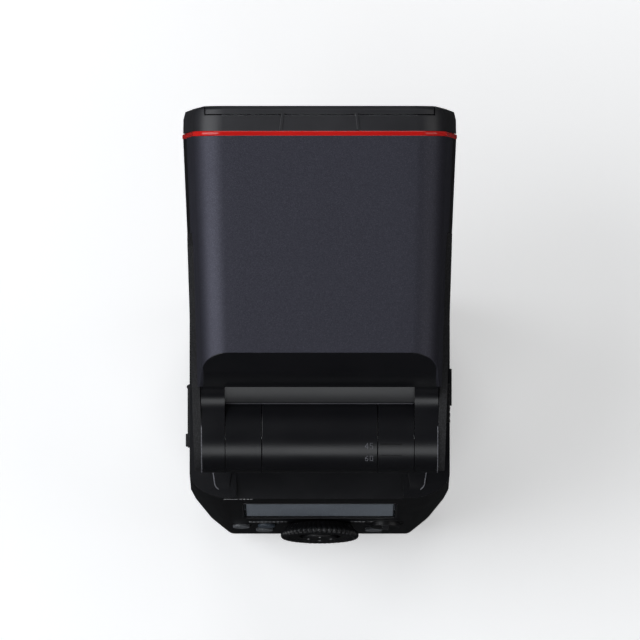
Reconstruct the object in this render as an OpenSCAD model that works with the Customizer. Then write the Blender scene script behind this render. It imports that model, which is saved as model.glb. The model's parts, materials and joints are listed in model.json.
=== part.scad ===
// Hot-shoe flash: a control unit on a shoe foot, a turret that swivels on it, and a head that
// tilts on the turret.
// +Z is up, +Y is the way the light goes, +X is the right side seen from the control panel.
// The origin is the middle of the shoe foot's underside, and Z is also the swivel axis.

/* [Head] */
// Widest part of the head, at the front
head_w = 84.8; // [83.6:0.2:85]
// Top of the head above the foot
head_top = 148.5; // [148:0.1:149]
// Underside of the head
head_low = 95.5; // [95.2:0.1:95.8]
// Front face of the head
head_front = 82.6; // [82:0.2:84]
// Thickness of the head's shells
head_wall = 2; // [1.6:0.1:2.2]

/* [Control unit] */
// Width of the control unit
unit_w = 82.4; // [82:0.1:82.8]
// Underside of the control unit, above the foot
unit_low = 11; // [10.6:0.1:11.2]
// Top of the deck that the turret turns on
deck_top = 86.5; // [86.3:0.1:86.6]
// Thickness of the case
unit_wall = 2.2; // [2:0.1:2.4]
// Lean of the control panel from upright, in degrees
panel_lean = 9.7; // [9:0.1:10]

/* [Hinges] */
// Distance of the tilt axis behind the swivel axis
tilt_back = 17; // [16.8:0.1:17.2]
// Height of the tilt axis
tilt_z = 107; // [106.8:0.1:107.2]
// Radius of the hinge barrel
barrel_r = 13.2; // [13:0.05:13.3]
// Radius of the bore that the tilt shaft runs in
shaft_bore_r = 5; // [4.8:0.05:5.2]
// Radius of the turret's turning disc
turret_r = 28; // [26:0.5:28.5]

/* [Controls] */
// Radius of the select dial
dial_r = 12.4; // [12:0.1:12.8]
// Width of the display window
lcd_w = 47.7; // [44:0.1:48]
// Height of the display window
lcd_h = 29.6; // [27:0.1:29.6]
// Radius of a round button
button_r = 2.7; // [2.3:0.1:2.8]

/* [Foot] */
// Width of the shoe plate
foot_w = 18.6; // [18.5:0.05:18.6]
// Length of the shoe plate
foot_l = 18; // [17.6:0.1:18.2]
// Thickness of the shoe plate
foot_t = 2; // [1.95:0.01:2.05]

/* [Hidden] */
$fn = 64;
eps = 0.02;
gap = 0.05;
run = 0.06;
big = 200;

// ---- colours ----
shell_black = [0.05, 0.05, 0.06];
shell_grey = [0.16, 0.16, 0.18];
soft_black = [0.08, 0.08, 0.08];
accent_red = [0.8, 0.07, 0.06];
steel = [0.7, 0.7, 0.72];
board_green = [0.05, 0.25, 0.14];

// ---- places worked out from the sizes above ----
shaft_r = shaft_bore_r - run;
ear_in = 18.05;          // the turret's ears, either side of the middle
ear_out = 29.1;
arm_in = 29.3;           // the head's arms, outside the ears
arm_out = 36.6;
barrel_half = 17.85;     // the barrel between the ears
wall_y = -3.5;           // the head's back wall
cover_y = 7;             // where the grey upper shell starts
ring_y = 73.4;           // the accent ring
bezel_y = 74.9;          // the front bezel
split_z = 118;           // parting line of the head's shells
hollow_x = 34.6;         // half width of the room inside the head
deck_t = 3;
case_top = deck_top - deck_t;
split_y = -28;           // parting line of the control unit's cases
panel_mid_z = 50;
panel_top_y = -38.4;
panel_mid_y = panel_top_y - (86 - panel_mid_z) * tan(panel_lean);
dial_v = -18.2;
lcd_v = 9.8;
power_at = [20.8, -15.6];
door_x = 38.9;
door_y = [-26, 18];
door_z = [15.9, 75.4];
door_pin_z = 17.3;
lens_z = (head_top + head_low) / 2;
tube_y = 54;
screw_at = [-26, 101.8];
fan_at = [15, 118.8];
release_at = [-8.7, 107];

// ---- helpers ----
// A rod along X between two places
module rod_x(x0, x1, r, y = 0, z = 0) {
    translate([x0, y, z]) rotate([0, 90, 0]) cylinder(r = r, h = x1 - x0);
}

// A rod along Y between two places
module rod_y(y0, y1, r, x = 0, z = 0) {
    translate([x, y0, z]) rotate([-90, 0, 0]) cylinder(r = r, h = y1 - y0);
}

// A box given by its lowest and highest corners
module span(low, high) {
    translate(low) cube(high - low);
}

// A profile in the YZ plane, stretched along X
module side_profile(x0, x1) {
    translate([x0, 0, 0]) rotate([90, 0, 90]) linear_extrude(x1 - x0) children();
}

module both_sides() {
    children();
    mirror([1, 0, 0]) children();
}

// Puts a thing on the control panel: x across, v up the panel, n out of it
module on_panel(x = 0, v = 0, n = 0) {
    translate([0, panel_mid_y, panel_mid_z])
        rotate([90 - panel_lean, 0, 0])
            translate([x, v, n])
                children();
}

// A disc on the panel with its own hole
module panel_disc(r, n0, n1, hole = 0) {
    translate([0, 0, n0])
        difference() {
            cylinder(r = r, h = n1 - n0);
            if (hole > 0) translate([0, 0, -1]) cylinder(r = hole, h = n1 - n0 + 2);
        }
}

// ---- the control unit's outline ----
// The points of a rounded corner at b, between its neighbours a and c
function corner(a, b, c, r, n = 5) =
    let (u = (a - b) / norm(a - b), v = (c - b) / norm(c - b), half = acos(u * v) / 2,
         start = b + u * r / tan(half), end = b + v * r / tan(half),
         middle = b + (u + v) / norm(u + v) * r / sin(half))
    [for (i = [0:n]) let (q = start + (end - start) * i / n - middle) middle + q / norm(q) * r];

function rounded(points, radii) =
    let (m = len(points))
    [for (i = [0:m - 1]) each corner(points[(i + m - 1) % m], points[i], points[(i + 1) % m], radii[i])];

// One level of the case, grown inwards by inset
function unit_points(z, inset = 0) = rounded(unit_corners(z, inset),
    let (t = (z - unit_low) / (deck_top - unit_low), s = 1.2 + 2.2 * t, p = 3 + 2 * t)
    [4.5, 4.5, s, s, 12, p, p, 12, s, s, 4.5, 4.5]);

function unit_corners(z, inset = 0) =
    let (t = (z - unit_low) / (deck_top - unit_low),
         w = unit_w / 2 - inset - (inset > 0 ? 0 : 0.6 * t),
         front = 26 + 2 * t - inset,
         back = panel_top_y - (86 - z) * tan(panel_lean) + inset,
         corner = 28.3 + 2.7 * t - inset * 0.5,
         shoulder = -37 + 5.5 * t + inset * 0.3,
         flank = [(w - 1.6 + corner) / 2 + 0.6, (shoulder - 3 + back) / 2 - 0.6])
    [[w - 7, front], [w, front - 8], [w, shoulder], [w - 1.6, shoulder - 3], flank,
     [corner, back], [-corner, back], [-flank[0], flank[1]], [-w + 1.6, shoulder - 3], [-w, shoulder],
     [-w, front - 8], [-w + 7, front]];

module unit_level(z, inset) {
    translate([0, 0, z]) linear_extrude(eps) polygon(unit_points(z, inset));
}

module unit_solid(z0, z1, inset = 0) {
    hull() {
        unit_level(z0, inset);
        unit_level(z1 - eps, inset);
    }
}

module case_shell() {
    difference() {
        unit_solid(unit_low, case_top);
        unit_solid(unit_low + unit_wall, case_top + 1, unit_wall);
    }
}

// ---- control unit ----
module front_case() {
    color(shell_black) difference() {
        union() {
            case_shell();
            span([1.5, -24, unit_low + 1], [39.5, 16, 16.2]);
            span([1.2, -24, unit_low + 1], [3.2, 16, 76]);
        }
        span([-big, -big, -1], [big, split_y, big]);
        span([door_x - 3, door_y[0], door_z[0]], [big, door_y[1], door_z[1]]);
        // windows in the front face
        span([-17, 20, 44], [17, 40, 62]);
        span([-8, 20, 70], [8, 40, 78]);
        span([-8, 20, 26], [8, 40, 36]);
        // sockets under the terminal cover, and the cover's own recess
        span([-big, -23.2, 42], [-40.2, -2.8, 66]);
        rod_x(-big, -35, 4.1, -11, 54);
        // bracket thread
        rod_x(-big, -35, 4.2, 6, 28);
        // shoe collar and wires
        translate([0, 0, unit_low - 1]) cylinder(r = 9, h = 5);
        screw_places() translate([0, 0, unit_low - 1]) cylinder(r = 1.9, h = 5.5);
    }
}

module rear_case() {
    color(shell_black) difference() {
        case_shell();
        span([-big, split_y, -1], [big, big, big]);
        on_panel(0, lcd_v, -10) translate([-lcd_w / 2, -lcd_h / 2, 0]) cube([lcd_w, lcd_h, 20]);
        on_panel(0, dial_v, -10) cylinder(r = 7.5, h = 20);
        on_panel(power_at[0], power_at[1], -10) cylinder(r = 2.1, h = 20);
        for (b = button_places) on_panel(b[0], b[1], -10) cylinder(r = button_r + 0.15, h = 20);
    }
}

module screw_places() {
    for (x = [-30, 30], y = [-22, 16]) translate([x, y, 0]) children();
}

module case_screws() {
    color(steel) screw_places() translate([0, 0, unit_low + 0.4]) difference() {
        cylinder(r = 1.85, h = 3.8);
        translate([-1.4, -0.25, -1]) cube([2.8, 0.5, 1.6]);
        translate([-0.25, -1.4, -1]) cube([0.5, 2.8, 1.6]);
    }
}

module top_deck() {
    color(shell_black) difference() {
        union() {
            unit_solid(case_top, deck_top);
            both_sides() hull() {
                translate([27.6, -30.2, case_top]) cube([5.6, 0.4, deck_t + 0.7]);
                translate([28.2, -34.4, case_top]) cube([4.4, 0.4, deck_t + 0.4]);
                translate([28.4, -36, case_top]) cube([2.4, 0.4, deck_t - 0.4]);
            }
        }
        translate([0, 0, case_top - 1]) cylinder(r = 9.5 + run, h = deck_t + 2);
        // the middle slopes down to the panel
        translate([-26, -30, deck_top]) rotate([14, 0, 0]) translate([0, -20, 0]) cube([52, 20, 8]);
    }
}

module shoe_collar() {
    color(shell_black) difference() {
        union() {
            translate([0, 0, 6]) cylinder(r = 16, h = unit_low - 6);
            translate([0, 0, 4.2]) cylinder(r = 12, h = 2);
            translate([0, 0, 10]) cylinder(r = 8.9, h = 5);
        }
        translate([0, 6.6, 0]) cylinder(r = 1.25, h = 10);
        span([-6, -6, 4], [6, 4.6, 12]);
    }
}

module foot_plate() {
    color(steel) difference() {
        union() {
            span([-foot_w / 2, -foot_l / 2, 0], [foot_w / 2, foot_l / 2, foot_t]);
            span([-6.2, -8, foot_t], [6.2, 8.4, 4.2]);
        }
        translate([0, 6.6, -1]) cylinder(r = 1.25, h = 10);
        span([-5.2, -5.6, -1], [5.2, 4.2, 10]);
    }
}

contact_places = [[0, 0, 1.1], [-3.2, -3.4, 0.75], [3.2, -3.4, 0.75], [-3.2, 2.4, 0.75], [3.2, 2.4, 0.75]];

module contact_block() {
    color(soft_black) difference() {
        span([-5.2, -5.6, 0], [5.2, 4.2, 4.2]);
        for (c = contact_places) translate([c[0], c[1], -1]) cylinder(r = c[2] + run, h = 10);
    }
}

module contact_pins() {
    color([0.85, 0.7, 0.35]) for (c = contact_places) translate([c[0], c[1], -0.5]) {
        cylinder(r = c[2], h = 5.2);
        translate([0, 0, 4.9]) cylinder(r = c[2] + 0.4, h = 0.6);
    }
}

module lcd_window() {
    color([0.35, 0.4, 0.46]) on_panel(0, lcd_v, -1.5)
        translate([-lcd_w / 2 + gap, -lcd_h / 2 + gap, 0]) cube([lcd_w - 2 * gap, lcd_h - 2 * gap, 1.4]);
}

module lcd_module() {
    color([0.5, 0.53, 0.5]) on_panel(0, lcd_v, -5.4) translate([-26, -15.3, 0]) cube([52, 30.6, 3]);
}

module display_board() {
    color(board_green) on_panel(0, -1, -9) difference() {
        translate([-26.5, -27, 0]) cube([53, 54, 1.5]);
        translate([0, dial_v + 1, -1]) cylinder(r = 4.4, h = 4);
    }
}

module dial_encoder() {
    color(soft_black) on_panel(0, dial_v) panel_disc(9, -7.4, -5, 4.4);
}

module main_board() {
    color(board_green) difference() {
        span([-34, 17, 17], [34, 18.6, 78]);
        translate([-34, 10, 17]) cube([3, 20, 3]);
    }
}

module main_capacitor() {
    color([0.1, 0.12, 0.2]) difference() {
        translate([-20.5, -8, 13.3]) cylinder(r = 13, h = 58);
        translate([-20.5, -8, 70.5]) difference() {
            cylinder(r = 11, h = 2);
            cylinder(r = 9.5, h = 2);
        }
    }
}

module battery_pack() {
    color([0.12, 0.12, 0.13]) difference() {
        span([3.4, -21, 16.3], [38.2, 14, 70.5]);
        span([30, -8, 69], [34, 2, 80]);
    }
}

// A window filling an opening in the case's front face
module front_window(w, z0, z1, t) {
    intersection() {
        unit_solid(unit_low, case_top, 0.4);
        span([-w, 20, z0 + gap], [w, 40, z1 - gap]);
        difference() {
            unit_solid(unit_low, case_top, 0.4);
            unit_solid(unit_low, case_top, t);
        }
    }
}

module af_assist_window() {
    color([0.25, 0.02, 0.03]) front_window(17 - gap, 44, 62, 2.2);
}

module modelling_lamp() {
    color([0.9, 0.85, 0.6]) front_window(8 - gap, 70, 78, 2.2);
}

module sensor_window() {
    color([0.08, 0.05, 0.06]) front_window(8 - gap, 26, 36, 2.2);
}

module sync_terminal() {
    color(steel) {
        difference() {
            rod_x(-40.1, -35.2, 4, -11, 54);
            rod_x(-41, -36.4, 2.9, -11, 54);
        }
        rod_x(-39.4, -36.4, 0.6, -11, 54);
    }
}

module bracket_insert() {
    color(steel) difference() {
        rod_x(-unit_w / 2, -34.2, 4.15, 6, 28);
        rod_x(-unit_w / 2 - 1, -33, 2.1, 6, 28);
    }
}

module swivel_click_ring() {
    color(steel) translate([0, 0, case_top - 2]) difference() {
        cylinder(r = 18, h = 2);
        translate([0, 0, -1]) cylinder(r = 14, h = 4);
        for (a = [0:15:345]) rotate([0, 0, a]) translate([14, 0, -1]) cylinder(r = 0.8, h = 4, $fn = 16);
    }
}

// ---- shoe lock ----
module lock_lever() {
    color(soft_black) difference() {
        union() {
            translate([0, 0, 6.8]) cylinder(r = 18.6, h = 3.2);
            span([-5, -31, 6.6], [5, -17, 10.2]);
        }
        translate([0, 0, 5]) cylinder(r = 16 + run, h = 8);
        rod_y(-32, -26.5, 2.1, 0, 8.4);
    }
}

module lock_button() {
    color(steel) rod_y(-32.2, -27.8, 2, 0, 8.4);
}

module locking_pin() {
    color(steel) translate([0, 6.6, 0.1]) cylinder(r = 1.2, h = 6.8);
}

// ---- panel controls ----
button_places = [[-24.9, -20.6], [-16.9, -19.2], [-17.6, -27.4], [17.2, -27.4]];

// A round button with a retaining flange behind the panel
module button(at) {
    color([0.2, 0.2, 0.21]) on_panel(at[0], at[1]) {
        panel_disc(button_r, -3, 0.9);
        panel_disc(button_r + 0.8, -3.4, -2.8);
    }
}

module select_dial() {
    color(soft_black) on_panel(0, dial_v) difference() {
        union() {
            translate([0, 0, 0.4]) cylinder(r1 = dial_r - 2.6, r2 = dial_r - 0.5, h = 2.4);
            panel_disc(dial_r - 0.5, 2.7, 4.7);
            for (a = [0:9:351]) rotate([0, 0, a]) translate([dial_r - 0.6, 0, 2.3])
                cylinder(r = 0.6, h = 2.1, $fn = 13);
            panel_disc(7.4, -4, 0.5);
        }
        translate([0, 0, -5]) cylinder(r = 6.4, h = 12);
    }
}

module joystick_base() {
    color(soft_black) on_panel(0, dial_v) {
        panel_disc(6.2, -4.4, -2.2, 3.9);
        panel_disc(4.2, -7, -4.3);
    }
}

module joystick_gimbal() {
    color(steel) on_panel(0, dial_v) panel_disc(3.5, -3.2, -1.8, 2.2);
}

module joystick_cap() {
    color(soft_black) on_panel(0, dial_v) {
        panel_disc(5.4, 1.6, 4.9);
        panel_disc(1.6, -3.4, 1.7);
    }
}

module power_switch() {
    color(soft_black) on_panel(power_at[0], power_at[1]) {
        difference() {
            panel_disc(4.6, 0.1, 1.5);
            translate([-0.3, 2.6, 1]) cube([0.6, 1.6, 2]);
        }
        translate([-1.1, -4.2, 1.4]) cube([2.2, 8.4, 1.5]);
        panel_disc(2, -4, 0.2);
    }
}

// ---- battery door ----
module battery_door() {
    color(shell_black) difference() {
        union() {
            translate([0, door_y[1] - 0.15, 0]) rotate([90, 0, 0])
                linear_extrude(door_y[1] - door_y[0] - 0.3)
                    polygon([[door_x + 0.05, door_pin_z], [unit_w / 2, door_pin_z],
                             [unit_w / 2 - 0.5, door_z[1] - 0.2], [door_x + 0.05, door_z[1] - 0.2]]);
            rod_y(door_y[0] + 0.15, door_y[1] - 0.15, 1.15, 40.05, door_pin_z);
        }
        translate([40.05, -big / 2, door_pin_z]) rotate([-90, 0, 0]) cylinder(r = 0.6 + 0.04, h = big);
        span([39.7, -10, 60], [50, 2, 72]);
    }
}

module door_hinge_pin() {
    color(steel) rod_y(door_y[0] - 2, door_y[1] + 2, 0.6, 40.05, door_pin_z);
}

module battery_latch() {
    color(soft_black) difference() {
        span([39.75, -9.8, 64], [41.4, 1.8, 71.8]);
        for (z = [65.5:1.5:70]) span([41, -8, z], [42, 0, z + 0.5]);
    }
}

module terminal_cover() {
    color(soft_black) {
        span([-41.5, -23, 42.2], [-40.3, -4.2, 65.8]);
        span([-42.2, -22.8, 50], [-41.4, -18.8, 58]);
        translate([-41.1, -3.9, 42.2]) cylinder(r = 0.7, h = 23.6);
        span([-41.5, -4.3, 42.2], [-40.9, -3.8, 65.8]);
    }
}

// ---- turret ----
module turret_base() {
    color(shell_black) difference() {
        union() {
            translate([0, 0, deck_top + 0.3]) cylinder(r = turret_r, h = 2.6);
            span([-ear_out, -26, deck_top + 0.3], [ear_out, 0, deck_top + 2.9]);
            both_sides() {
                rod_x(ear_in, ear_out, barrel_r, -tilt_back, tilt_z);
                span([ear_in, -26, deck_top + 1], [ear_out, -8, tilt_z]);
            }
            side_profile(-ear_in - eps, ear_in + eps)
                polygon([[-26, 88], [22, 88], [22, 90.1], [-3, 93], [-26, 93]]);
        }
        rod_x(-40, 40, shaft_r + 0.02, -tilt_back, tilt_z);
        translate([0, 0, 80]) cylinder(r = 6, h = 40);
        rod_x(-barrel_half - 0.1, barrel_half + 0.1, barrel_r + 0.25, -tilt_back, tilt_z);
    }
}

module turret_spindle() {
    color(steel) difference() {
        union() {
            translate([0, 0, case_top - 3]) cylinder(r = 13, h = 2.8);
            translate([0, 0, case_top - 3]) cylinder(r = 9.5, h = deck_t + 3.3);
        }
        translate([0, 0, 70]) cylinder(r = 6, h = 30);
    }
}

module tilt_shaft() {
    color(steel) difference() {
        rod_x(-36, 36, shaft_r, -tilt_back, tilt_z);
        rod_x(-40, 40, 3.2, -tilt_back, tilt_z);
    }
}

module tilt_click_disc() {
    color(steel) difference() {
        rod_x(8, 9.6, 9, -tilt_back, tilt_z);
        rod_x(0, 20, shaft_r + 0.02, -tilt_back, tilt_z);
        for (a = [-7, 0, 45, 60, 75, 90, 120])
            translate([7, -tilt_back, tilt_z]) rotate([90 + a, 0, 0])
                translate([0, 9, 0]) rotate([0, 90, 0]) cylinder(r = 0.7, h = 4, $fn = 16);
    }
}

// ---- head ----
// One upright slice of the head: rounded corners, sides that widen downwards
function arc_points(x, z, r, from, to, n = 9) =
    [for (i = [0:n]) let (a = from + (to - from) * i / n) [x + r * cos(a), z + r * sin(a)]];

function mirrored(points) = [for (i = [len(points) - 1:-1:0]) [-points[i][0], points[i][1]]];

function half_outline(top_x, top_r, low_x, low_r, inset, lean = 5) = concat(
    arc_points(low_x, head_low + low_r, low_r - inset, -90, lean),
    arc_points(top_x, head_top - top_r, top_r - inset, lean, 90));

module head_slice(y, t, top_x, top_r, low_x, low_r, inset = 0) {
    half = half_outline(top_x, top_r, low_x, low_r, inset);
    translate([0, y + t, 0]) rotate([90, 0, 0]) linear_extrude(t) polygon(concat(half, mirrored(half)));
}

front_low_r = 8;
front_low_x = head_w / 2 - front_low_r;

module head_solid(inset = 0) {
    hull() {
        head_slice(wall_y + inset, eps, 28, 8, 31, 8, inset);
        head_slice(ring_y - eps + (inset > 0 ? 0.5 : 0), eps, 29.5, 9.5, front_low_x, front_low_r, inset);
    }
}

module head_hollow() {
    intersection() {
        head_solid(head_wall);
        span([-hollow_x, -20, 90], [hollow_x, big, 150]);
    }
}

// Follows the taper of the head's sides
module grip_frame() {
    translate([37.45, 14, 0]) rotate([0, 0, -1.7]) translate([0, -14, 0]) children();
}

// The plates on the head's sides that carry on round the hinge, grown by g for their pockets
module grip_plate(g = 0) {
    grip_frame() side_profile(-g, 2.5) {
        translate([-tilt_back, tilt_z]) circle(r = 12.6 + g);
        polygon([[-tilt_back - 1.6, tilt_z + 12.5 + g], [-tilt_back, tilt_z - 12.6 - g],
                 [40, 98.7 - g], [44 + g, 102.7], [44 + g, 124], [40, 128 + g]]);
    }
}

module grip_pockets() {
    both_sides() grip_plate(0.05);
}

module shell_part(z0, z1) {
    difference() {
        intersection() {
            head_solid();
            span([-big, cover_y, z0], [big, ring_y, z1]);
        }
        head_hollow();
        grip_pockets();
    }
}

module head_upper_shell() {
    color(shell_grey) shell_part(split_z, big);
}

module head_lower_shell() {
    color(shell_black) difference() {
        shell_part(0, split_z);
        for (x = [-20:5:20]) span([x - 1, 12, 90], [x + 1, 30, head_low + 3]);
    }
}

module hinge_cover() {
    color(shell_black) difference() {
        union() {
            intersection() {
                head_solid();
                side_profile(-60, 60)
                    polygon([[cover_y, head_top], [1.1, 141], [wall_y, 132.5], [wall_y, 90],
                             [cover_y, 90]]);
            }
            both_sides() {
                rod_x(arm_in, arm_out, barrel_r, -tilt_back, tilt_z);
                span([arm_in, -tilt_back, 98.5], [arm_out, wall_y + 2, 115]);
                side_profile(arm_in, arm_out)
                    polygon([[wall_y + 1, 110], [wall_y + 1, 127], [wall_y, 127], [-5, 123.6], [-7.6, 121],
                             [-11, 120], [-tilt_back, 120.2], [-tilt_back, 110]]);
            }
            // the ledge that closes the gap above the ears and the barrel
            difference() {
                side_profile(-arm_in - eps, arm_in + eps)
                    polygon([[wall_y + 0.5, 113.1], [wall_y + 0.5, 120.6], [-8.3, 117.9],
                             [-8.8, 117.3], [-8.8, 113.1]]);
                rod_x(-40, 40, barrel_r + 0.2, -tilt_back, tilt_z);
            }
        }
        intersection() {
            head_hollow();
            side_profile(-60, 60)
                polygon([[30, 146], [9.5, 146], [3.2, 138.5], [wall_y + 2, 131], [wall_y + 2, 90], [30, 90]]);
        }
        grip_pockets();
        release_place(6.15, 3.75);
        both_sides() rod_x(arm_in - 1, 36.2, shaft_bore_r, -tilt_back, tilt_z);
    }
}

module hinge_barrel() {
    color(shell_black) difference() {
        union() {
            rod_x(-barrel_half, barrel_half, barrel_r, -tilt_back, tilt_z);
            span([-barrel_half, -8, 101], [barrel_half, wall_y, 113]);
        }
        rod_x(-20, 20, 11, -tilt_back, tilt_z);
    }
}

module barrel_bushings() {
    color(steel) both_sides() difference() {
        rod_x(14.9, barrel_half - 0.1, 10.98, -tilt_back, tilt_z);
        rod_x(10, 20, shaft_bore_r, -tilt_back, tilt_z);
    }
}

module side_grips() {
    color(soft_black) difference() {
        both_sides() difference() {
            grip_plate();
            // ribs run up and down
            for (y = [4:3:36]) grip_frame() span([2.1, y, 108], [9, y + 1, 120]);
        }
        release_place(6.15, 3.75);
    }
}

// Where the tilt release sits in the right-hand plate
module release_place(half_l, half_h) {
    span([36.6, release_at[0] - half_l, release_at[1] - half_h],
         [60, release_at[0] + half_l, release_at[1] + half_h]);
}

module tilt_release() {
    color(soft_black) intersection() {
        release_place(6, 3.6);
        difference() {
            span([37.5, -30, 90], [40.4, 10, 120]);
            for (y = [-13.6:2:-3]) span([40.1, y, 90], [50, y + 0.6, 120]);
        }
    }
}

module front_section(y, t, inset) {
    head_slice(y, t, 29.5, 9.5, front_low_x, front_low_r, inset);
}

module accent_ring() {
    color(accent_red) difference() {
        front_section(ring_y, bezel_y - ring_y, 0);
        front_section(ring_y - 1, 4, 2.4);
    }
}

module bezel_level(y, narrow, inset) {
    head_slice(y, 0.2, 29.5 - narrow, 9.5, front_low_x - narrow, front_low_r, inset);
}

module bezel_outer() {
    hull() {
        bezel_level(bezel_y, 0, 0);
        bezel_level(79, 0.1, 0);
        bezel_level(81.4, 0.5, 0.2);
        bezel_level(head_front - 0.2, 2.2, 1.2);
    }
}

module front_bezel() {
    color(shell_black) difference() {
        bezel_outer();
        front_section(bezel_y - 1, 2.4, 2.4);
        span([-34.5, 70, 102.4], [34.5, 90, 140.45]);
        span([-32, 70, 141.2], [32, 90, 146]);
        span([-35.3, 79.7, 143.2], [35.3, 90, 160]);
        // finger grooves in the roof
        for (x = [-12, 11.6]) span([x, bezel_y, head_top - 0.3], [x + 0.4, 79.8, big]);
    }
}

module fresnel_lens() {
    color([0.8, 0.85, 0.88, 0.4]) difference() {
        span([-34.4, 78.4, 102.5], [34.4, 80.9, 140.3]);
        for (z = [105:2.2:138.5]) side_profile(-33, 33)
            polygon([[78.2, z], [79.2, z + 1], [78.2, z + 1.4]]);
    }
}

module wide_panel() {
    color([0.75, 0.78, 0.8]) union() {
        intersection() {
            bezel_outer();
            span([-35, 80, 143.4], [35, 90, 160]);
        }
        span([-30, 38, 143.7], [30, 80.1, 145.1]);
    }
}

module catchlight_panel() {
    color([0.92, 0.92, 0.9]) {
        span([-29, 40, 141.9], [29, 79.6, 142.8]);
        span([-9, 79.5, 141.4], [9, 81.6, 142.9]);
    }
}

module head_chassis() {
    color(steel) difference() {
        union() {
            span([-33.5, 8, 99], [33.5, 9.4, 139]);
            both_sides() rod_y(9.2, 72, 1, 32.6, 121);
        }
        span([-8, 0, 110], [8, 20, 130]);
        rod_y(0, 20, 13.4, fan_at[0], fan_at[1]);
    }
}

module zoom_motor() {
    color(steel) difference() {
        rod_y(9.5, 17, 4.1, screw_at[0], screw_at[1]);
        rod_y(15, 18, 1.56, screw_at[0], screw_at[1]);
    }
}

module lead_screw() {
    color([0.8, 0.7, 0.4]) difference() {
        rod_y(15.2, 72, 1.5, screw_at[0], screw_at[1]);
        for (y = [20:4:68]) translate([screw_at[0], y, screw_at[1]]) rotate([-90, 0, 0]) difference() {
            cylinder(r = 3, h = 1);
            translate([0, 0, -1]) cylinder(r = 1.2, h = 3);
        }
    }
}

module reflector() {
    color([0.85, 0.85, 0.88]) {
        difference() {
            side_profile(-30.5, 30.5) polygon([[46, 113], [46, 130], [74, 139], [74, 105]]);
            side_profile(-29.5, 29.5) polygon([[47.2, 114], [47.2, 129], [75, 137.9], [75, 106]]);
        }
        both_sides() difference() {
            span([30.4, 52, 118.4], [34.2, 58, 123.6]);
            rod_y(50, 60, 1 + run, 32.6, 121);
        }
        difference() {
            span([-29, 50, 98.6], [-23, 56, 112.6]);
            rod_y(49, 60, 1.5 + run, screw_at[0], screw_at[1]);
        }
    }
}

module flash_tube() {
    color([0.95, 0.95, 0.98]) rod_x(-29.4, 29.4, 2.4, tube_y, 121.5);
}

module fan_housing() {
    color(soft_black) difference() {
        span([fan_at[0] - 13, -1.2, fan_at[1] - 12], [fan_at[0] + 13, 6.2, fan_at[1] + 12]);
        rod_y(-2.4, 8, 11.2, fan_at[0], fan_at[1]);
    }
    color(soft_black) {
        rod_y(-1.2, 0, 4, fan_at[0], fan_at[1]);
        for (a = [0:120:240]) translate([fan_at[0], -1.2, fan_at[1]]) rotate([-90, a, 0])
            translate([0, -0.6, 0]) cube([11.6, 1.2, 1]);
    }
}

module fan_rotor() {
    color(shell_black) {
        rod_y(0.3, 5.6, 4.4, fan_at[0], fan_at[1]);
        for (a = [0:60:300]) translate([fan_at[0], 2.9, fan_at[1]]) rotate([0, a, 0])
            translate([4, -2, 0]) rotate([25, 0, 0]) cube([6.6, 4, 0.8]);
    }
}

front_case();
rear_case();
top_deck();
shoe_collar();
foot_plate();
contact_block();
case_screws();
lcd_window();
lcd_module();
main_board();
display_board();
main_capacitor();
battery_pack();
af_assist_window();
modelling_lamp();
sensor_window();
sync_terminal();
bracket_insert();
swivel_click_ring();
door_hinge_pin();
dial_encoder();
contact_pins();
lock_lever();
locking_pin();
lock_button();
select_dial();
joystick_base();
joystick_gimbal();
joystick_cap();
button(button_places[0]);  // mode_button
button(button_places[1]);  // menu_button
button(button_places[2]);  // wireless_button
button(button_places[3]);  // test_button
power_switch();
battery_door();
battery_latch();
terminal_cover();
turret_base();
turret_spindle();
tilt_shaft();
tilt_click_disc();
head_upper_shell();
head_lower_shell();
hinge_cover();
hinge_barrel();
barrel_bushings();
side_grips();
tilt_release();
accent_ring();
front_bezel();
fresnel_lens();
head_chassis();
zoom_motor();
reflector();
flash_tube();
lead_screw();
fan_housing();
fan_rotor();
wide_panel();
catchlight_panel();
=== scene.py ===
"""Looks for the shoe flash: camera, light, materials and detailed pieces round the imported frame."""

import itertools
import json
import math

import bmesh
import bpy
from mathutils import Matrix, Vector


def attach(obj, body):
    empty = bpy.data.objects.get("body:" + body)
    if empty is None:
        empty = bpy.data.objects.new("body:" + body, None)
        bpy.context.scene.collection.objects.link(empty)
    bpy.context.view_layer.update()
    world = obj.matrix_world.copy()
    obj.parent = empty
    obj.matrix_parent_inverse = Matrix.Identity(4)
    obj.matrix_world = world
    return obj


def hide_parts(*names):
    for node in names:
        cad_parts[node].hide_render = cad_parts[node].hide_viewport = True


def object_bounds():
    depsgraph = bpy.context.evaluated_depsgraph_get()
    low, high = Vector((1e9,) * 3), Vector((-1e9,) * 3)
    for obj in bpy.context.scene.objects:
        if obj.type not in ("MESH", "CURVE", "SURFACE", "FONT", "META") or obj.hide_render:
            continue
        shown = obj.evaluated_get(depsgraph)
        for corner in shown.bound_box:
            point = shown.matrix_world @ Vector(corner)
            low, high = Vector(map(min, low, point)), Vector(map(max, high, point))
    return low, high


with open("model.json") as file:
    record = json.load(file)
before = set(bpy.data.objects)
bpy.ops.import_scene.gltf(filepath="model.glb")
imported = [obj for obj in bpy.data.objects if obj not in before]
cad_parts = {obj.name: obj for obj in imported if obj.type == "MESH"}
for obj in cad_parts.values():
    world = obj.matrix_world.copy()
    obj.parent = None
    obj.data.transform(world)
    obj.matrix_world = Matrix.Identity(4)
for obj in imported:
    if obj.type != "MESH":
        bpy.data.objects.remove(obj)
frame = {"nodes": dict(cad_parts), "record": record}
cad_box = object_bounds()
NODES = frame["nodes"]
MM = 0.001

# ---------------------------------------------------------------- materials


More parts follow.
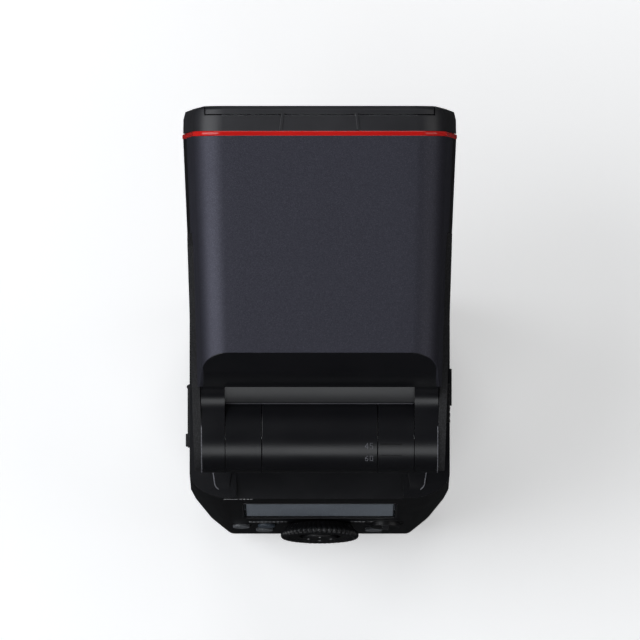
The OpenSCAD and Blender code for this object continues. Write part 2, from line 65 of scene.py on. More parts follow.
def new_material(name, color, roughness=0.5, metallic=0.0, **sockets):
    """A Principled material, its node tree and its shader node."""
    m = bpy.data.materials.new(name)
    m.use_nodes = True
    tree = m.node_tree
    shader = tree.nodes["Principled BSDF"]
    shader.inputs["Base Color"].default_value = (*color, 1.0)
    shader.inputs["Roughness"].default_value = roughness
    shader.inputs["Metallic"].default_value = metallic
    for key, value in sockets.items():
        shader.inputs[key.replace("_", " ")].default_value = value
    m.diffuse_color = (*color, 1.0)
    return m, tree, shader


def coords(tree):
    """The piece's own coordinates."""
    n = tree.nodes.new("ShaderNodeTexCoord")
    return n.outputs["Object"]


def noise(tree, size_mm, detail=2.0, roughness=0.5, kind="noise"):
    """The value of a noise or Voronoi texture whose grain is about size_mm, and its node."""
    if kind == "noise":
        n = tree.nodes.new("ShaderNodeTexNoise")
        n.inputs["Detail"].default_value = detail
        n.inputs["Roughness"].default_value = roughness
        out = n.outputs["Fac"]
    else:
        n = tree.nodes.new("ShaderNodeTexVoronoi")
        n.feature = "F1"
        out = n.outputs["Distance"]
    n.inputs["Scale"].default_value = 1000.0 / size_mm
    tree.links.new(coords(tree), n.inputs["Vector"])
    return out, n


def ramp(tree, source, stops):
    """A colour ramp over source, from stops of position and colour."""
    r = tree.nodes.new("ShaderNodeValToRGB")
    r.color_ramp.elements[0].position = stops[0][0]
    r.color_ramp.elements[0].color = (*stops[0][1], 1.0)
    r.color_ramp.elements[1].position = stops[-1][0]
    r.color_ramp.elements[1].color = (*stops[-1][1], 1.0)
    for pos, col in stops[1:-1]:
        e = r.color_ramp.elements.new(pos)
        e.color = (*col, 1.0)
    tree.links.new(source, r.inputs["Fac"])
    return r.outputs["Color"]


def map_range(tree, source, low, high, from_low=0.0, from_high=1.0):
    """Source taken from one range to the range low to high."""
    n = tree.nodes.new("ShaderNodeMapRange")
    n.inputs["From Min"].default_value = from_low
    n.inputs["From Max"].default_value = from_high
    n.inputs["To Min"].default_value = low
    n.inputs["To Max"].default_value = high
    tree.links.new(source, n.inputs["Value"])
    return n.outputs["Result"]


def add_bump(tree, shader, source, strength, depth_mm):
    """Relief of depth_mm from the heights in source."""
    b = tree.nodes.new("ShaderNodeBump")
    b.inputs["Strength"].default_value = strength
    b.inputs["Distance"].default_value = depth_mm * MM
    tree.links.new(source, b.inputs["Height"])
    tree.links.new(b.outputs["Normal"], shader.inputs["Normal"])


def plastic(name, dark, light, rough_low, rough_high, grain_mm, bump, depth_mm=0.05, blotch_mm=22.0):
    """Moulded plastic: fine grain, and broad uneven wear in colour and gloss."""
    m, tree, shader = new_material(name, dark, rough_high)
    broad, _ = noise(tree, blotch_mm, 3.0, 0.6)
    fine, _ = noise(tree, grain_mm, 2.0, 0.6)
    tree.links.new(ramp(tree, broad, [(0.35, dark), (0.7, light)]), shader.inputs["Base Color"])
    tree.links.new(map_range(tree, broad, rough_low, rough_high, 0.3, 0.7), shader.inputs["Roughness"])
    add_bump(tree, shader, fine, bump, depth_mm)
    return m


def sparkle_paint(name, dark, light):
    """Dark metallic paint with fine flakes under a thin coat."""
    m, tree, shader = new_material(name, dark, 0.58, 0.85, Coat_Weight=0.06, Coat_Roughness=0.35)
    flakes, v = noise(tree, 0.17, kind="voronoi")
    sep = tree.nodes.new("ShaderNodeSeparateColor")
    tree.links.new(v.outputs["Color"], sep.inputs["Color"])
    bright = tuple(min(1.0, c * 1.3) for c in light)
    base = ramp(tree, sep.outputs["Red"], [(0.0, dark), (0.85, light), (1.0, bright)])
    tree.links.new(base, shader.inputs["Base Color"])
    broad, _ = noise(tree, 35.0, 2.0)
    tree.links.new(map_range(tree, broad, 0.56, 0.62, 0.3, 0.7), shader.inputs["Roughness"])
    fine, _ = noise(tree, 0.45, 2.0)
    add_bump(tree, shader, fine, 0.10, 0.02)
    return m


def metal(name, color, roughness, stretch=(1.0, 1.0, 1.0), grain_mm=0.25):
    """Metal with fine brushed lines along the axis with the smallest stretch."""
    m, tree, shader = new_material(name, color, roughness, 1.0)
    n = tree.nodes.new("ShaderNodeTexNoise")
    n.inputs["Scale"].default_value = 1000.0 / grain_mm
    n.inputs["Detail"].default_value = 3.0
    mp = tree.nodes.new("ShaderNodeMapping")
    mp.inputs["Scale"].default_value = stretch
    tree.links.new(coords(tree), mp.inputs["Vector"])
    tree.links.new(mp.outputs["Vector"], n.inputs["Vector"])
    lines = n.outputs["Fac"]
    dull = tuple(c * 0.85 for c in color)
    gloss = map_range(tree, lines, roughness * 0.75, roughness * 1.3, 0.3, 0.7)
    tree.links.new(gloss, shader.inputs["Roughness"])
    tree.links.new(ramp(tree, lines, [(0.3, dull), (0.7, color)]), shader.inputs["Base Color"])
    add_bump(tree, shader, lines, 0.08, 0.02)
    return m


def rubber(name, dark, light, grain_mm=0.5):
    """Soft rubber with a pebbled face."""
    m, tree, shader = new_material(name, dark, 0.7)
    pebbles, _ = noise(tree, grain_mm, kind="voronoi")
    broad, _ = noise(tree, 15.0, 3.0)
    tree.links.new(ramp(tree, pebbles, [(0.1, light), (0.6, dark)]), shader.inputs["Base Color"])
    tree.links.new(map_range(tree, broad, 0.58, 0.78, 0.3, 0.7), shader.inputs["Roughness"])
    add_bump(tree, shader, pebbles, 0.5, 0.12)
    return m


def clear(name, tint, alpha, roughness=0.05, grain_mm=4.0):
    """See-through plastic or glass, blended so it exports."""
    m, tree, shader = new_material(name, tint, roughness, 0.0, IOR=1.49)
    shader.inputs["Alpha"].default_value = alpha
    n, _ = noise(tree, grain_mm, 2.0)
    tree.links.new(map_range(tree, n, roughness, roughness * 2.2, 0.3, 0.7), shader.inputs["Roughness"])
    pale = tuple(min(1.0, c * 1.12) for c in tint)
    tree.links.new(ramp(tree, n, [(0.3, tint), (0.7, pale)]), shader.inputs["Base Color"])
    return m


MAT = {
    "black": plastic("moulded_black", (0.0042, 0.0044, 0.006), (0.0056, 0.0058, 0.0078),
                     0.3, 0.38, 0.3, 0.12),
    "cover": plastic("hinge_black", (0.0052, 0.0053, 0.007), (0.0066, 0.0067, 0.0086),
                     0.27, 0.33, 0.28, 0.06),
    "paint": sparkle_paint("sparkle_paint", (0.050, 0.050, 0.066), (0.068, 0.068, 0.089)),
    "soft": plastic("soft_black", (0.0055, 0.0055, 0.0066), (0.008, 0.008, 0.0095), 0.36, 0.46, 0.25, 0.14),
    "key": plastic("key_grey", (0.085, 0.090, 0.098), (0.10, 0.106, 0.115), 0.36, 0.44, 0.3, 0.1),
    "red": plastic("red_gloss", (0.58, 0.012, 0.010), (0.66, 0.016, 0.013), 0.12, 0.17, 1.5, 0.02),
    "rubber": rubber("grip_rubber", (0.008, 0.008, 0.009), (0.022, 0.022, 0.025), 0.55),
    "steel": metal("steel", (0.62, 0.62, 0.64), 0.28, (1.0, 0.06, 1.0)),
    "dark_steel": metal("dark_steel", (0.16, 0.16, 0.17), 0.35),
    "gold": metal("gold_plate", (0.85, 0.62, 0.25), 0.22),
    "bare": metal("polished_aluminium", (0.86, 0.86, 0.88), 0.13, (0.08, 1.0, 1.0), 0.6),
    "board": plastic("board_green", (0.015, 0.10, 0.055), (0.02, 0.14, 0.075), 0.3, 0.5, 0.6, 0.3),
    "can": plastic("can_sleeve", (0.02, 0.03, 0.08), (0.03, 0.04, 0.1), 0.25, 0.35, 2.0, 0.05),
    "battery": plastic("battery_case", (0.02, 0.02, 0.022), (0.03, 0.03, 0.033), 0.4, 0.5, 0.4, 0.15),
    "milky": clear("milky_plastic", (0.80, 0.83, 0.86), 0.9, 0.3),
    "white": plastic("white_plastic", (0.80, 0.80, 0.78), (0.86, 0.86, 0.84), 0.4, 0.5, 0.4, 0.1),
    "lens": clear("lens_plastic", (0.78, 0.82, 0.86), 0.30, 0.10, 40.0),
    "tube": clear("tube_glass", (0.95, 0.96, 0.98), 0.6, 0.04),
    "ir_red": clear("dark_red_window", (0.06, 0.005, 0.008), 0.93, 0.08),
    "smoke": clear("smoked_window", (0.012, 0.010, 0.012), 0.95, 0.07),
    "frost": clear("frosted_window", (0.72, 0.70, 0.62), 0.95, 0.3),
    "display": plastic("display_face", (0.20, 0.228, 0.268), (0.23, 0.26, 0.305), 0.35, 0.45, 1.0, 0.02),
    "glass": clear("display_glass", (0.04, 0.046, 0.052), 0.2, 0.03),
    "key_dark": plastic("frame_black", (0.012, 0.012, 0.014), (0.016, 0.016, 0.018), 0.25, 0.32, 0.4, 0.05),
    "key_blue": plastic("key_blue_grey", (0.045, 0.058, 0.076), (0.054, 0.069, 0.088), 0.36, 0.44, 0.3, 0.1),
    "bezel": plastic("bezel_black", (0.017, 0.017, 0.020), (0.022, 0.022, 0.026), 0.42, 0.5, 0.3, 0.1),
    # pale colour for the rods that paint highlights on the arm edges, ledge and ridge edges, and for the
    # printed tilt figures
    "rim": plastic("painted_highlight_and_print", (0.14, 0.14, 0.16), (0.17, 0.17, 0.19), 0.3, 0.38, 0.4, 0.05),
    "dark_line": plastic("dark_line", (0.0015, 0.0015, 0.0018), (0.002, 0.002, 0.0024), 0.6, 0.7, 0.4, 0.03),
    "mark": plastic("mark_grey", (0.34, 0.345, 0.355), (0.40, 0.405, 0.415), 0.5, 0.6, 0.4, 0.04),
}

LOOK = {
    "front_case": "black", "rear_case": "black", "top_deck": "black", "shoe_collar": "black",
    "foot_plate": "steel", "contact_block": "soft", "case_screws": "dark_steel", "lcd_window": "glass",
    "lcd_module": "display", "main_board": "board", "display_board": "board", "main_capacitor": "can",
    "battery_pack": "battery", "af_assist_window": "ir_red", "modelling_lamp": "frost",
    "sensor_window": "smoke", "sync_terminal": "steel", "bracket_insert": "steel",
    "swivel_click_ring": "steel", "door_hinge_pin": "steel", "dial_encoder": "soft",
    "contact_pins": "gold", "lock_lever": "soft", "locking_pin": "steel", "lock_button": "key",
    "select_dial": "soft", "joystick_base": "soft", "joystick_gimbal": "dark_steel",
    "joystick_cap": "soft", "mode_button": "key", "menu_button": "key", "wireless_button": "key",
    "test_button": "key", "power_switch": "soft", "battery_door": "black", "battery_latch": "soft",
    "terminal_cover": "rubber", "turret_base": "cover", "turret_spindle": "steel", "tilt_shaft": "steel",
    "tilt_click_disc": "steel", "head_upper_shell": "paint", "head_lower_shell": "black",
    "hinge_cover": "cover", "hinge_barrel": "cover", "barrel_bushings": "steel", "side_grips": "rubber",
    "tilt_release": "soft", "accent_ring": "red", "front_bezel": "bezel", "fresnel_lens": "lens",
    "head_chassis": "steel", "zoom_motor": "dark_steel", "reflector": "bare", "flash_tube": "tube",
    "lead_screw": "gold", "fan_housing": "soft", "fan_rotor": "soft", "wide_panel": "milky",
    "catchlight_panel": "white",
}

BODY_OF = {}
for body_name, names in frame["record"]["behaviour"]["bodies"].items():
    for n in names:
        BODY_OF[n] = body_name

for n, look in LOOK.items():
    ob = NODES[n]
    ob.data.materials.clear()
    ob.data.materials.append(MAT[look])


# ---------------------------------------------------------------- helpers


def link(ob):
    """Puts an object in the scene."""
    bpy.context.scene.collection.objects.link(ob)
    return ob


def shade(ob, angle=35.0):
    """Smooth faces, with edges sharper than angle kept crisp."""
    me = ob.data
    me.polygons.foreach_set("use_smooth", [True] * len(me.polygons))
    bm = bmesh.new()
    bm.from_mesh(me)
    limit = math.radians(angle)
    for e in bm.edges:
        e.smooth = not (len(e.link_faces) == 2 and e.calc_face_angle(0.0) > limit)
    bm.to_mesh(me)
    bm.free()


def piece(name, verts, faces, material, node=None, body=None, bevel=0.0, angle=35.0, segments=3):
    """A mesh piece from points in mm. It stands for a CAD node, or rides on a body."""
    me = bpy.data.meshes.new(name)
    me.from_pydata([tuple(c * MM for c in v) for v in verts], [], faces)
    bm = bmesh.new()
    bm.from_mesh(me)
    bmesh.ops.remove_doubles(bm, verts=bm.verts, dist=1e-6)
    bmesh.ops.recalc_face_normals(bm, faces=bm.faces)
    bm.to_mesh(me)
    bm.free()
    ob = link(bpy.data.objects.new(name, me))
    me.materials.append(MAT[material])
    finish_piece(ob, node, body, bevel, angle, segments)
    return ob


def finish_piece(ob, node=None, body=None, bevel=0.0, angle=35.0, segments=3):
    """Shading, rounded edges, and what the piece stands for or rides on."""
    shade(ob, angle)
    if bevel > 0:
        b = ob.modifiers.new("edge", "BEVEL")
        b.width = bevel * MM
        b.segments = segments
        b.limit_method = "ANGLE"
        b.angle_limit = math.radians(32)
        b.harden_normals = True
        b.use_clamp_overlap = True
    nodes = [node] if isinstance(node, str) else list(node or [])
    if nodes:
        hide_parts(*nodes)
    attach(ob, body or BODY_OF[nodes[0]])


def refine(node, bevel=0.3, material=None, angle=30.0, segments=3):
    """The CAD shape with its edges rounded."""
    src = NODES[node]
    me = src.data.copy()
    me.name = node + "_fine"
    bm = bmesh.new()
    bm.from_mesh(me)
    bmesh.ops.remove_doubles(bm, verts=bm.verts, dist=2e-6)
    bmesh.ops.dissolve_limit(bm, angle_limit=math.radians(0.6), verts=bm.verts, edges=bm.edges)
    bm.to_mesh(me)
    bm.free()
    ob = link(bpy.data.objects.new(node + "_fine", me))
    me.materials.clear()
    me.materials.append(MAT[material or LOOK[node]])
    finish_piece(ob, node, None, bevel, angle, segments)
    return ob


# ---------------------------------------------------------------- head

TOP, LOW = 148.5, 95.5
WALL_Y, COVER_Y, RING_Y, BEZEL_Y = -3.5, 7.0, 73.4, 74.9
TILT_Y, TILT_Z, BARREL_R = -17.0, 107.0, 13.2
ARM_OUT = 36.6
DROOP = 0.006  # how far the front planes lean back per mm down
SPLIT_Z = 118.1  # lower edge of the painted shell
# where the slanting back changes slope: height and depth of its two edges
EDGE_HIGH_Z, EDGE_HIGH_Y = 141.0, 1.1
EDGE_LOW_Z = 132.5
FLANK = math.radians(5)  # lean of the head's sides


def lerp(a, b, t):
    """The value a share t of the way from a to b."""
    return a + (b - a) * t


def half_section(y, inset=0.0, n=14):
    """The head's right half at y, from the bottom middle to the top middle, as (x, z)."""
    t = min(1.0, max(0.0, (y - WALL_Y) / (RING_Y - WALL_Y)))
    top_x, top_r = lerp(28.0, 29.5, t), lerp(8.0, 9.5, t) - inset
    low_x, low_r = lerp(31.0, 34.4, t), 8.0 - inset
    top_z, low_z = TOP - lerp(8.0, 9.5, t), LOW + 8.0
    pts = [(low_x * k / 5.0, LOW + inset) for k in range(5)]
    for k in range(n + 1):
        a = math.radians(lerp(-90, 5, k / n))
        pts.append((low_x + low_r * math.cos(a), low_z + low_r * math.sin(a)))
    p, q = pts[-1], (top_x + top_r * math.cos(FLANK), top_z + top_r * math.sin(FLANK))
    pts += [(lerp(p[0], q[0], k / 9.0), lerp(p[1], q[1], k / 9.0)) for k in range(1, 9)]
    for k in range(n + 1):
        a = math.radians(lerp(5, 90, k / n))
        pts.append((top_x + top_r * math.cos(a), top_z + top_r * math.sin(a)))
    pts += [(top_x * (1 - k / 6.0), TOP - inset) for k in range(1, 7)]
    return pts


def full_section(y, inset=0.0, n=14):
    """The head's whole outline at y, starting at the bottom middle."""
    half = half_section(y, inset, n)
    return half + [(-x, z) for x, z in half[-2:0:-1]]


def grid_faces(rows, cols, closed=False):
    """Four-sided faces between rows of points, joined end to start if closed."""
    faces = []
    for r in range(rows - 1):
        for c in range(cols if closed else cols - 1):
            d = (c + 1) % cols
            faces.append((r * cols + c, r * cols + d, (r + 1) * cols + d, (r + 1) * cols + c))
    return faces


def facet_y(z):
    """Where the slanting back of the head leaves off at height z."""
    if z > EDGE_HIGH_Z:
        return lerp(EDGE_HIGH_Y, COVER_Y, (z - EDGE_HIGH_Z) / (TOP - EDGE_HIGH_Z))
    if z > EDGE_LOW_Z:
        return lerp(WALL_Y, EDGE_HIGH_Y, (z - EDGE_LOW_Z) / (EDGE_HIGH_Z - EDGE_LOW_Z))
    return WALL_Y


def solidify(ob, thickness):
    """Gives a skin a wall that grows inwards."""
    m = ob.modifiers.new("wall", "SOLIDIFY")
    m.thickness = thickness * MM
    m.offset = -1.0
    m.use_even_offset = True


def apply_modifiers(ob):
    """Bakes a piece's modifiers into its mesh."""
    deps = bpy.context.evaluated_depsgraph_get()
    deps.update()
    me = bpy.data.meshes.new_from_object(ob.evaluated_get(deps))
    ob.modifiers.clear()
    old = ob.data
    ob.data = me
    bpy.data.meshes.remove(old)


def shell_piece(name, columns, y_from, y_to, material, node, thickness, inset, rows):
    """Part of the head's skin down to SPLIT_Z.

    Columns picks points of the section. Each column runs from y_from to y_to of its height.
    """
    probe = full_section(COVER_Y, inset)
    verts = []
    for r in range(rows):
        u = 0.5 - 0.5 * math.cos(math.pi * r / (rows - 1))
        for i in columns:
            y = lerp(y_from(probe[i][1]), y_to(probe[i][1]), u)
            x, z = full_section(y, inset)[i]
            if i in (columns[0], columns[-1]):
                x += math.copysign((z - SPLIT_Z) * math.tan(FLANK), x)
                z = SPLIT_Z
            verts.append((x, y, z))
    me = bpy.data.meshes.new(name)
    me.from_pydata([tuple(c * MM for c in v) for v in verts], [], grid_faces(rows, len(columns)))
    ob = link(bpy.data.objects.new(name, me))
    me.materials.append(MAT[material])
    bm = bmesh.new()
    bm.from_mesh(me)
    bmesh.ops.recalc_face_normals(bm, faces=bm.faces)
    mid = Vector((0, (COVER_Y + RING_Y) / 2, (TOP + LOW) / 2)) * MM
    if sum(f.normal.dot(f.calc_center_median() - mid) for f in bm.faces) < 0:
        bmesh.ops.reverse_faces(bm, faces=bm.faces)
    bm.to_mesh(me)
    bm.free()
    solidify(ob, thickness)
    apply_modifiers(ob)
    finish_piece(ob, node, None, 0.18)
    return ob


section = full_section(COVER_Y)
upper = [i for i, (x, z) in enumerate(section) if z > SPLIT_Z + 0.1]
shell_piece("head_painted_shell", upper, facet_y, lambda z: RING_Y - DROOP * (TOP - z) + 0.05,
            "paint", "head_upper_shell", 1.7, inset=-0.12, rows=34)


def band(name, y0, y1, out, crown, material, node):
    """A closed band round the head between two planes that lean back as they go down."""
    depth, corner = 1.6, 0.12
    rows = [(y0, out - depth), (y0, out - corner), (lerp(y0, y1, 0.15), out),
            (lerp(y0, y1, 0.5), out + crown),
            (lerp(y0, y1, 0.85), out), (y1, out - corner), (y1, out - depth)]
    verts, cols = [], 0
    for y, o in rows:
        pts = full_section(RING_Y, -o, 18)
        cols = len(pts)
        verts += [(x, y - DROOP * (TOP - z), z) for x, z in pts]
    faces = grid_faces(len(rows), cols, True)
    last = (len(rows) - 1) * cols
    faces += [(last + c, last + (c + 1) % cols, (c + 1) % cols, c) for c in range(cols)]
    return piece(name, verts, faces, material, node, angle=50.0)


band("red_ring", RING_Y + 0.02, BEZEL_Y - 0.02, 0.16, 0.06, "red", "accent_ring")


def rod(name, path, radius, material, body, sides=8):
    """A thin raised line along a path of points in mm."""
    verts, faces = [], []
    n = len(path)
    for k, p in enumerate(path):
        p = Vector(p)
        a, b = Vector(path[max(0, k - 1)]), Vector(path[min(n - 1, k + 1)])
        t = (b - a).normalized()
        side = t.cross(Vector((0, 0, 1)))
        side = side.normalized() if side.length > 1e-3 else Vector((1, 0, 0))
        up = side.cross(t)
        for i in range(sides):
            w = 2 * math.pi * i / sides
            verts.append(tuple(p + side * radius * math.cos(w) + up * radius * math.sin(w)))
    for k in range(n - 1):
        for i in range(sides):
            j = (i + 1) % sides
            faces.append((k * sides + i, k * sides + j, (k + 1) * sides + j, (k + 1) * sides + i))
    faces += [tuple(range(sides)), tuple(range((n - 1) * sides, n * sides))]
    return piece(name, verts, faces, material, body=body, angle=60.0)


def block(name, low, high, material, body, bevel, move):
    """A bevelled block between two corners, with each point moved by move."""
    corners = zip(low, high)
    pts = [move(*p) for p in itertools.product(*corners)]
    faces = [(0, 1, 3, 2), (4, 6, 7, 5), (0, 4, 5, 1), (2, 3, 7, 6), (0, 2, 6, 4), (1, 5, 7, 3)]
    return piece(name, pts, faces, material, body=body, bevel=bevel)


def side_name(side):
    return "left" if side < 0 else "right"


def on_barrel(x, angle, r=BARREL_R):
    """A point on the hinge barrel, angle degrees behind its top."""
    a = math.radians(angle)
    return (x, TILT_Y - r * math.sin(a), TILT_Z + r * math.cos(a))


# two fine ribs on the bezel's roof, drawing together towards the front
RIB_Y0, RIB_Y1 = 75.2, 80.4
for side in (-1, 1):
    block("roof_rib_" + side_name(side), (-0.45, RIB_Y0, TOP - 0.4), (0.45, RIB_Y1, TOP + 0.22),
          "bezel", "head", 0.15,
          lambda x, y, z, side=side: (x + side * lerp(11.9, 11.3, (y - RIB_Y0) / (RIB_Y1 - RIB_Y0)), y, z))

# a painted highlight: a thin pale rod down the outer edge of each hinge arm
for side in (-1, 1):
    path = [on_barrel(side * (ARM_OUT - 0.15), a, BARREL_R - 0.15) for a in range(-10, 116, 6)]
    rod("arm_painted_highlight_" + side_name(side), path, 0.2, "rim", "head")

# a painted highlight: a thin pale rod along the ledge over the barrel
rod("ledge_painted_highlight", [(-29.0, -8.72, 117.62), (29.0, -8.72, 117.62)], 0.1, "rim", "head")

# the tilt scale: two lines on the right-hand ear, and figures on the barrel
for angle, radius in ((19.0, 0.2), (36.0, 0.14)):
    ends = [on_barrel(x, angle, BARREL_R - 0.04) for x in (18.6, 25.4)]
    rod("tilt_index_%d" % angle, ends, radius, "dark_line", "turret")


def figure(name, strokes, x0, angle0, width, height):
    """A figure drawn from straight strokes on a grid of 1 by 2, lying on the barrel."""
    for k, (a, b) in enumerate(strokes):
        pts = []
        for t in (0.0, 0.5, 1.0):
            u, v = lerp(a[0], b[0], t), lerp(a[1], b[1], t)
            turn = math.degrees((v - 1) * height / 2 / BARREL_R)
            pts.append(on_barrel(x0 + u * width, angle0 - turn, BARREL_R - 0.01))
        rod("%s_%d" % (name, k), pts, 0.085, "rim", "head", 6)


FOUR = [((0.8, 0), (0.8, 2)), ((0.8, 2), (0, 0.7)), ((0, 0.7), (1, 0.7))]
FIVE = [((1, 2), (0.1, 2)), ((0.1, 2), (0.1, 1.2)), ((0.1, 1.2), (0.9, 1.1)), ((0.9, 1.1), (0.9, 0.1)),
        ((0.9, 0.1), (0, 0))]
SIX = [((0.9, 2), (0.1, 1.2)), ((0.1, 1.2), (0.1, 0)), ((0.1, 0), (0.9, 0)), ((0.9, 0), (0.9, 1)),
       ((0.9, 1), (0.1, 1))]
ZERO = [((0.1, 0), (0.1, 2)), ((0.1, 2), (0.9, 2)), ((0.9, 2), (0.9, 0)), ((0.9, 0), (0.1, 0))]
for label, angle, pair in (("four_five", 21.5, (FOUR, FIVE)), ("six_zero", 41.0, (SIX, ZERO))):
    for k, strokes in enumerate(pair):
        figure("tilt_%s_%d" % (label, k), strokes, 14.0 + 1.5 * k, angle, 1.0, 1.9)

# CAD nodes with rounded edges, and how round
MAIN_EDGES = {
    "front_case": 0.4, "rear_case": 0.4, "top_deck": 0.35, "head_lower_shell": 0.2, "hinge_cover": 0.3,
    "hinge_barrel": 0.18, "front_bezel": 0.25, "side_grips": 0.5, "turret_base": 0.25, "battery_door": 0.3,
    "terminal_cover": 0.3, "foot_plate": 0.15, "shoe_collar": 0.3, "lock_lever": 0.3, "joystick_cap": 0.5,
    "power_switch": 0.25, "tilt_release": 0.3, "battery_latch": 0.15, "turret_spindle": 0.2,
}
for n, w in MAIN_EDGES.items():
    refine(n, w)

# the wide-angle panel is clear, with a dark lip at its front edge
LIP_Y, LIP_Z = 79.9, 143.3
wide_panel = refine("wide_panel", 0.25, "milky").data
wide_panel.materials.append(MAT["bezel"])
for p in wide_panel.polygons:
    if p.center.y > LIP_Y * MM and p.center.z > LIP_Z * MM:
        p.material_index = 1

# rounded-square rings moulded into the lens
LENS_FACE_Y, LENS_Z, LENS_RINGS = 80.86, (TOP + LOW) / 2 - 0.6, 9
for k in range(LENS_RINGS):
    u = k / (LENS_RINGS - 1)
    half_x, half_z = lerp(32.6, 6.0, u), lerp(17.2, 2.2, u)
    path = []
    for a in range(0, 361, 6):
        c, t = math.cos(math.radians(a)), math.sin(math.radians(a))
        path.append((half_x * math.copysign(abs(c) ** 0.55, c), LENS_FACE_Y,
                     LENS_Z + half_z * math.copysign(abs(t) ** 0.55, t)))
    rod("lens_ring_%d" % k, path, 0.16, "lens", "head", 6)

# painted highlights: thin pale rods along the edges of the deck's two ridges
for side in (-1, 1):
    rod("ridge_painted_highlight_" + side_name(side),
        [(side * 33.2, -29.6, 87.1), (side * 33.2, -30.6, 87.15), (side * 32.7, -34.2, 86.85),
         (side * 32.3, -35.0, 86.7), (side * 31.0, -36.2, 86.1)], 0.2, "rim", BODY_OF["top_deck"])

# ---------------------------------------------------------------- control panel

LEAN = math.radians(9.7)
PANEL_Y, PANEL_Z = -44.5535, 50.0  # the point of the panel where v and n are 0
DISPLAY_V, DIAL_V = 9.8, -18.2
SWITCH = (20.4, -15.6)
BUTTONS = ((-24.9, -20.6), (-16.9, -19.2), (-17.6, -27.4), (17.2, -27.4))
UNIT = BODY_OF["rear_case"]


def on_panel(x, v, n=0.0):
    """A point x across the panel, v up it and n out of it."""
    return (x, PANEL_Y + v * math.sin(LEAN) - n * math.cos(LEAN),
            PANEL_Z + v * math.cos(LEAN) + n * math.sin(LEAN))


def lathe(name, x, v, profile, material, node=None, body=None, steps=64, shape=None, angle=35.0):
    """A turned piece standing on the panel; profile runs from the axis or the bore outwards and back."""
    verts = []
    for k in range(steps):
        a = 2 * math.pi * k / steps
        for r, n in profile:
            reach = shape(k, r, n) if shape else r
            verts.append(on_panel(x + reach * math.cos(a), v + reach * math.sin(a), n))
    m = len(profile)
    faces = []
    for k in range(steps):
        j = (k + 1) % steps
        for i in range(m - 1 if profile[0][0] == 0 else m):
            h = (i + 1) % m
            faces.append((k * m + i, j * m + i, j * m + h, k * m + h))
    return piece(name, verts, faces, material, node, body, angle=angle)


def ribs(count, steps, inner, depth, start, height):
    """Rounded ribs round the rim, outside the radius inner, fading in above the height start."""
    def shape(k, r, n):
        if r < inner or n < start:
            return r
        wave = 0.5 + 0.5 * math.cos(2 * math.pi * k * count / steps)
        return r - depth * (1 - wave ** 0.6) * min(1.0, (n - start) / height + 0.35)
    return shape


DIAL_RIBS = 44
DIAL_STEPS = 8 * DIAL_RIBS
lathe("dial_fine", 0, DIAL_V,
      [(6.55, 0.5), (9.85, 0.45), (10.4, 0.9), (11.5, 2.3), (12.3, 2.9), (12.38, 3.6), (12.3, 4.2),
       (11.9, 4.6), (11.3, 4.72), (10.7, 4.66), (10.1, 4.3), (9.5, 4.05), (8.3, 3.95), (7.3, 4.1),
       (6.9, 4.2), (6.55, 4.0)],
      "soft", "select_dial", steps=DIAL_STEPS,
      shape=ribs(DIAL_RIBS, DIAL_STEPS, 9.8, 0.5, 0.6, 1.2), angle=50.0)
lathe("joystick_fine", 0, DIAL_V,
      [(0, 4.25), (1.6, 4.28), (2.8, 4.45), (3.8, 4.78), (4.5, 4.88), (5.05, 4.74), (5.3, 4.3), (5.36, 3.4),
       (5.2, 1.9), (4.9, 1.62), (1.6, 1.6), (1.58, -3.3), (0, -3.3)],
      "soft", "joystick_cap", steps=72, angle=40.0)

# four raised dots on the joystick
DOTS, DOT_R = 4, 3.55
for k in range(DOTS):
    a = 2 * math.pi * k / DOTS
    lathe("joystick_dot_%d" % k, DOT_R * math.cos(a), DIAL_V + DOT_R * math.sin(a),
          [(0, 5.0), (0.28, 4.97), (0.42, 4.84), (0.45, 4.5), (0, 4.5)],
          "mark", body=BODY_OF["joystick_cap"], steps=20)


def ring_path(x, v, half_w, half_h, radius, n):
    """A rounded rectangle on the panel."""
    pts = []
    for cx, cy, start in ((1, 1, 0), (-1, 1, 90), (-1, -1, 180), (1, -1, 270)):
        for a in range(start, start + 91, 15):
            r = math.radians(a)
            pts.append(on_panel(x + cx * (half_w - radius) + radius * math.cos(r),
                                v + cy * (half_h - radius) + radius * math.sin(r), n))
    return pts + [pts[0]]


rod("display_frame", ring_path(0, DISPLAY_V, 24.15, 15.05, 1.4, 0.02), 0.22, "key_dark", UNIT)
rod("display_inner_line", ring_path(0, DISPLAY_V, 23.2, 14.1, 0.8, -0.25), 0.12, "dark_line", UNIT)
rod("switch_outline", ring_path(*SWITCH, 6.2, 5.1, 5.0, 0.03), 0.2, "dark_line", UNIT)
for k, place in enumerate(BUTTONS):
    rod("button_seat_%d" % k, ring_path(*place, 3.15, 3.15, 3.1, 0.02), 0.2, "dark_line", UNIT)


def panel_plate(name, x, v, n, width, height, thickness, material, bevel=0.0):
    """A flat plate lying on the panel, from its lower left corner."""
    outline = ((x, v), (x + width, v), (x + width, v + height), (x, v + height))
    pts = [on_panel(*p, level) for level in (n, n + thickness) for p in outline]
    faces = [(0, 3, 2, 1), (4, 5, 6, 7), (0, 1, 5, 4), (1, 2, 6, 5), (2, 3, 7, 6), (3, 0, 4, 7)]
    piece(name, pts, faces, material, body=UNIT, bevel=bevel)


def printed_row(name, x, v, count, pitch=1.25, width=0.75, height=1.1):
    """A row of small plain printed marks by a control."""
    for k in range(count):
        panel_plate("%s_%d" % (name, k), x + k * pitch, v, -0.05, width, height, 0.08, "mark")


panel_plate("display_image", -23.1, DISPLAY_V - 14.0, -0.75, 46.2, 28.0, 0.35, "display", 0.08)
printed_row("mark_left", -22.4, -14.6, 10)
printed_row("mark_right", 9.8, -14.2, 9)
rod("mark_line", [on_panel(-30.0, 33.6, 0.02), on_panel(-25.6, 33.6, 0.02)], 0.09, "mark", UNIT)
printed_row("mark_top", -25.0, 33.0, 4, 1.1, 0.7)

for n in ("mode_button", "menu_button", "wireless_button", "test_button"):
    refine(n, 0.55, "key_blue" if n == "menu_button" else "key", segments=5)

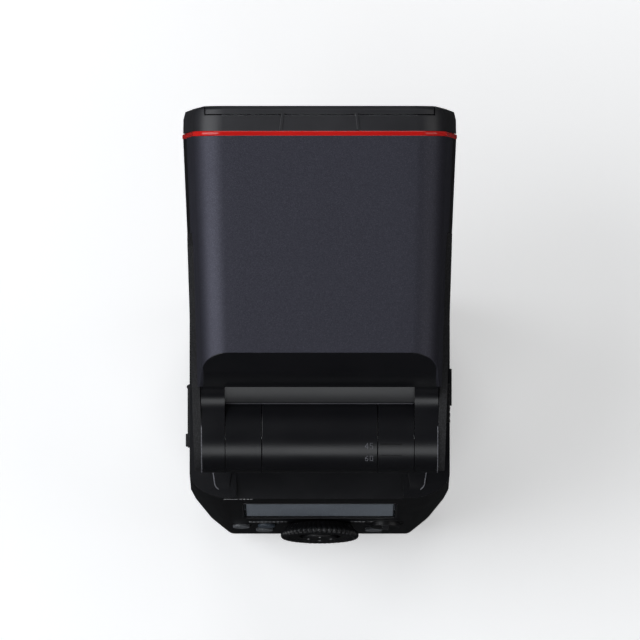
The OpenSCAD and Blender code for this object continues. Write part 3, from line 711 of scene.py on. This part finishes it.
# the smaller CAD nodes with rounded edges, and how round
SMALL_EDGES = {
    "lcd_window": 0.15, "lcd_module": 0.1, "af_assist_window": 0.25, "modelling_lamp": 0.25,
    "sensor_window": 0.25, "fresnel_lens": 0.08, "lock_button": 0.3, "sync_terminal": 0.15,
    "contact_block": 0.12, "case_screws": 0.12, "catchlight_panel": 0.15, "bracket_insert": 0.1,
}
for n, w in SMALL_EDGES.items():
    refine(n, w)


# ---------------------------------------------------------------- studio

low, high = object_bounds()
floor_z = min(low[2], cad_box[0][2])

floor_mat, tree, shader = new_material("studio_floor", (0.93, 0.93, 0.93), 0.6, Emission_Strength=0.32)
shader.inputs["Emission Color"].default_value = (1.0, 1.0, 1.0, 1.0)
grain, _ = noise(tree, 60.0, 2.0)
floor_color = ramp(tree, grain, [(0.3, (0.925, 0.925, 0.925)), (0.7, (0.935, 0.935, 0.935))])
tree.links.new(floor_color, shader.inputs["Base Color"])
bpy.ops.mesh.primitive_plane_add(size=6.0, location=(0, 0, floor_z))
floor = bpy.context.object
floor.name = "studio_floor"
floor.data.materials.append(floor_mat)
floor.visible_glossy = False


def area_light(name, place, aim, size_x, size_y, power, color=(1, 1, 1)):
    """A rectangular light at place, facing aim."""
    data = bpy.data.lights.new(name, "AREA")
    data.shape = "RECTANGLE"
    data.size = size_x
    data.size_y = size_y
    data.energy = power
    data.color = color
    ob = link(bpy.data.objects.new(name, data))
    ob.location = place
    ob.rotation_euler = (Vector(aim) - Vector(place)).to_track_quat("-Z", "Y").to_euler()


centre = Vector((0.0, 0.017, 0.09))
area_light("key_left", (-0.85, 0.12, 0.80), centre, 0.75, 1.3, 10.5, (0.95, 0.97, 1.0))
area_light("fill_right", (1.25, 0.12, 0.85), centre, 0.8, 1.3, 3.8, (1.0, 0.99, 0.98))
area_light("rear_strip", (0.0, -1.15, 0.85), centre, 1.6, 0.55, 5.4, (0.95, 0.975, 1.0))
area_light("front_strip", (0.0, 1.25, 0.9), centre, 1.5, 0.6, 6.0)

world = bpy.data.worlds.new("studio")
bpy.context.scene.world = world
world.use_nodes = True
background = world.node_tree.nodes["Background"]
background.inputs["Color"].default_value = (0.95, 0.97, 1.0, 1.0)
background.inputs["Strength"].default_value = 0.015

cam_data = bpy.data.cameras.new("camera")
cam_data.sensor_width = 36.0
cam_data.lens = 547.8
cam_data.clip_end = 20.0
camera = link(bpy.data.objects.new("camera", cam_data))
camera.location = (0.0001, 0.0171, 3.125)
camera.rotation_euler = (0.0, 0.0, 0.0)
bpy.context.scene.camera = camera
bpy.context.scene.view_settings.view_transform = "Standard"
